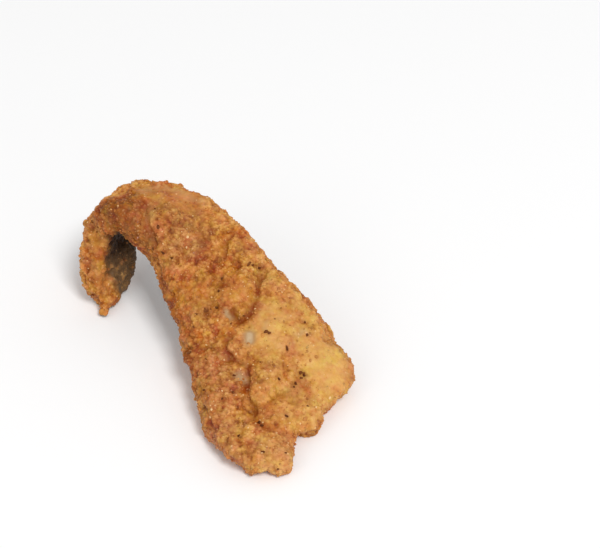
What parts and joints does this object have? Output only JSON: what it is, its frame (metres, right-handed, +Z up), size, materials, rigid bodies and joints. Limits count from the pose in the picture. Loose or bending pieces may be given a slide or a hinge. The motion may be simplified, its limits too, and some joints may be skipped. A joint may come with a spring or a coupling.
{
  "type": "fried fish fillet",
  "caption": "Breaded, deep-fried fish fillet curled into an arch: a broad ragged end lies flat, the body climbs to a ridge and a narrow tail hangs to the floor.",
  "frame": {"origin": "middle of the bounding box, on the floor that the fillet lies on", "axes": "+X along the fillet from the hanging tail to the broad head end, +Z up"},
  "size_m": [0.1692, 0.0846, 0.0603],
  "materials": {
    "breading": "rough fried cornmeal breading, golden brown with darker flanks"
  },
  "bodies": {
    "root": {"fillet": "breading"}
  },
  "joints": []
}
